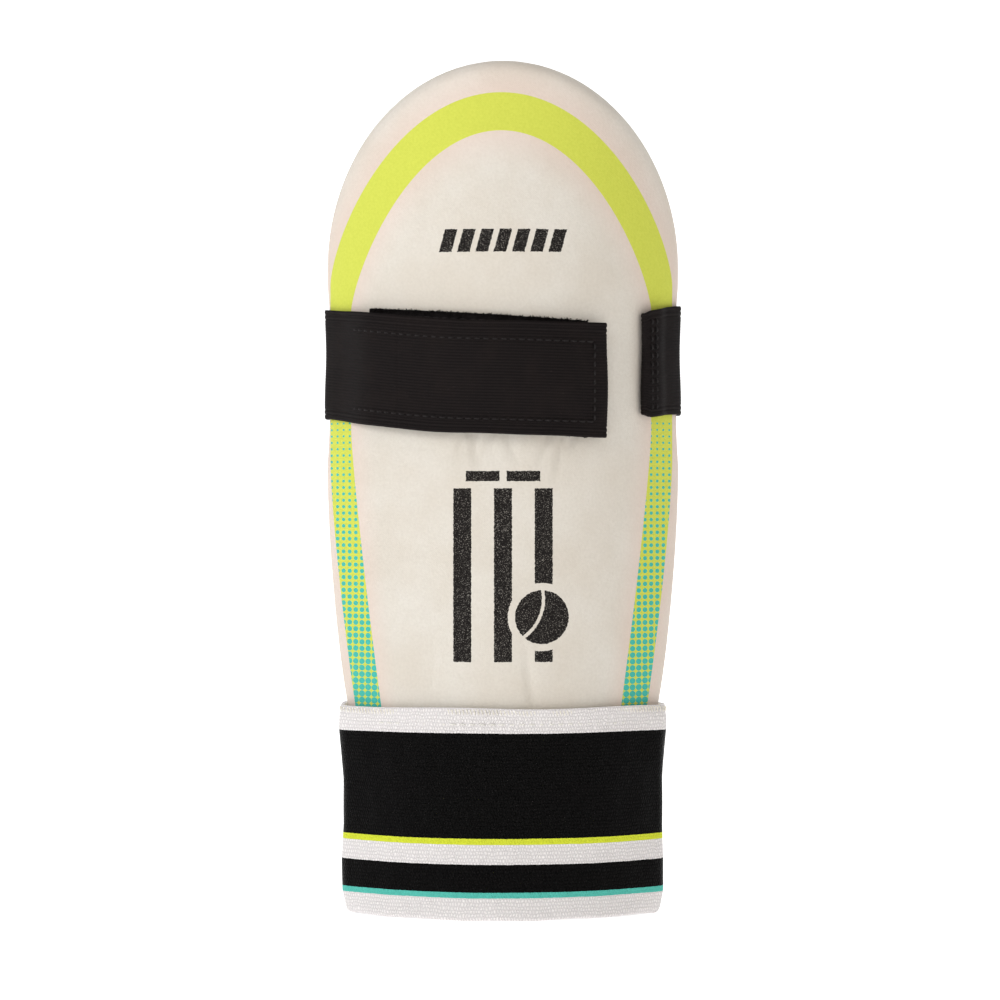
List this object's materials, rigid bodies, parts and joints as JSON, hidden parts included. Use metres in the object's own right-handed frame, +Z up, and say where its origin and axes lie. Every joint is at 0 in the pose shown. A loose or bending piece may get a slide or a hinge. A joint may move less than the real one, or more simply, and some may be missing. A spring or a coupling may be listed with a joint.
{
  "type": "forearm guard",
  "caption": "Moulded foam forearm guard for cricket, with an elastic hook-and-loop strap and a striped knitted wrist cuff.",
  "frame": {"origin": "middle of the guard's width and depth, at the cuff's lower rim", "axes": "+Z up along the forearm from the wrist to the elbow, -Y out of the printed face, +X to the right as the face is seen"},
  "size_m": [0.122, 0.0702, 0.286],
  "materials": {
    "cover_cloth": "fine knit, slightly napped",
    "shell_foam": "closed-cell foam",
    "insert_sheet": "smooth sheet",
    "soft_foam": "open-cell foam",
    "lining_cloth": "brushed knit",
    "white_thread": "spun thread",
    "band_film": "printed film, lime above and teal dots below",
    "black_film": "printed film",
    "loop_pile": "looped pile",
    "black_thread": "spun thread",
    "webbing": "ribbed elastic webbing",
    "hook_tape": "moulded hooks on woven tape",
    "striped_knit": "ribbed knit, black and white with thin lime and teal stripes",
    "plain_knit": "ribbed knit"
  },
  "bodies": {
    "pad": {"cover": "cover_cloth", "foam_shell": "shell_foam", "stiff_insert": "insert_sheet", "comfort_foam": "soft_foam", "lining": "lining_cloth", "rim_seam": "white_thread", "band_print": "band_film", "row_print": "black_film", "emblem_print": "black_film", "loop_patch": "loop_pile", "loop_patch_stitching": "black_thread", "strap_webbing": "webbing", "strap_stitching": "black_thread", "cuff_outer_ply": "striped_knit", "cuff_inner_ply": "plain_knit", "cuff_overlock": "white_thread", "cuff_back_seam": "white_thread", "cuff_stitching": "white_thread"},
    "tail": {"tail_webbing": "webbing", "tail_hook_tape": "hook_tape", "tail_stitching": "black_thread"},
    "tip": {"tip_webbing": "webbing", "tip_hook_tape": "hook_tape", "tip_hem": "webbing", "tip_stitching": "black_thread"}
  },
  "joints": [
    {"name": "tail_open", "type": "hinge", "parent": "pad", "child": "tail", "pos_m": [-0.061, 0.0111, 0.1847], "axis": [0, 0, -1], "range_deg": [0, 150]},
    {"name": "tip_peel", "type": "hinge", "parent": "tail", "child": "tip", "pos_m": [-0.01, -0.03403, 0.1823], "axis": [0, 0, -1], "range_deg": [0, 90]}
  ]
}
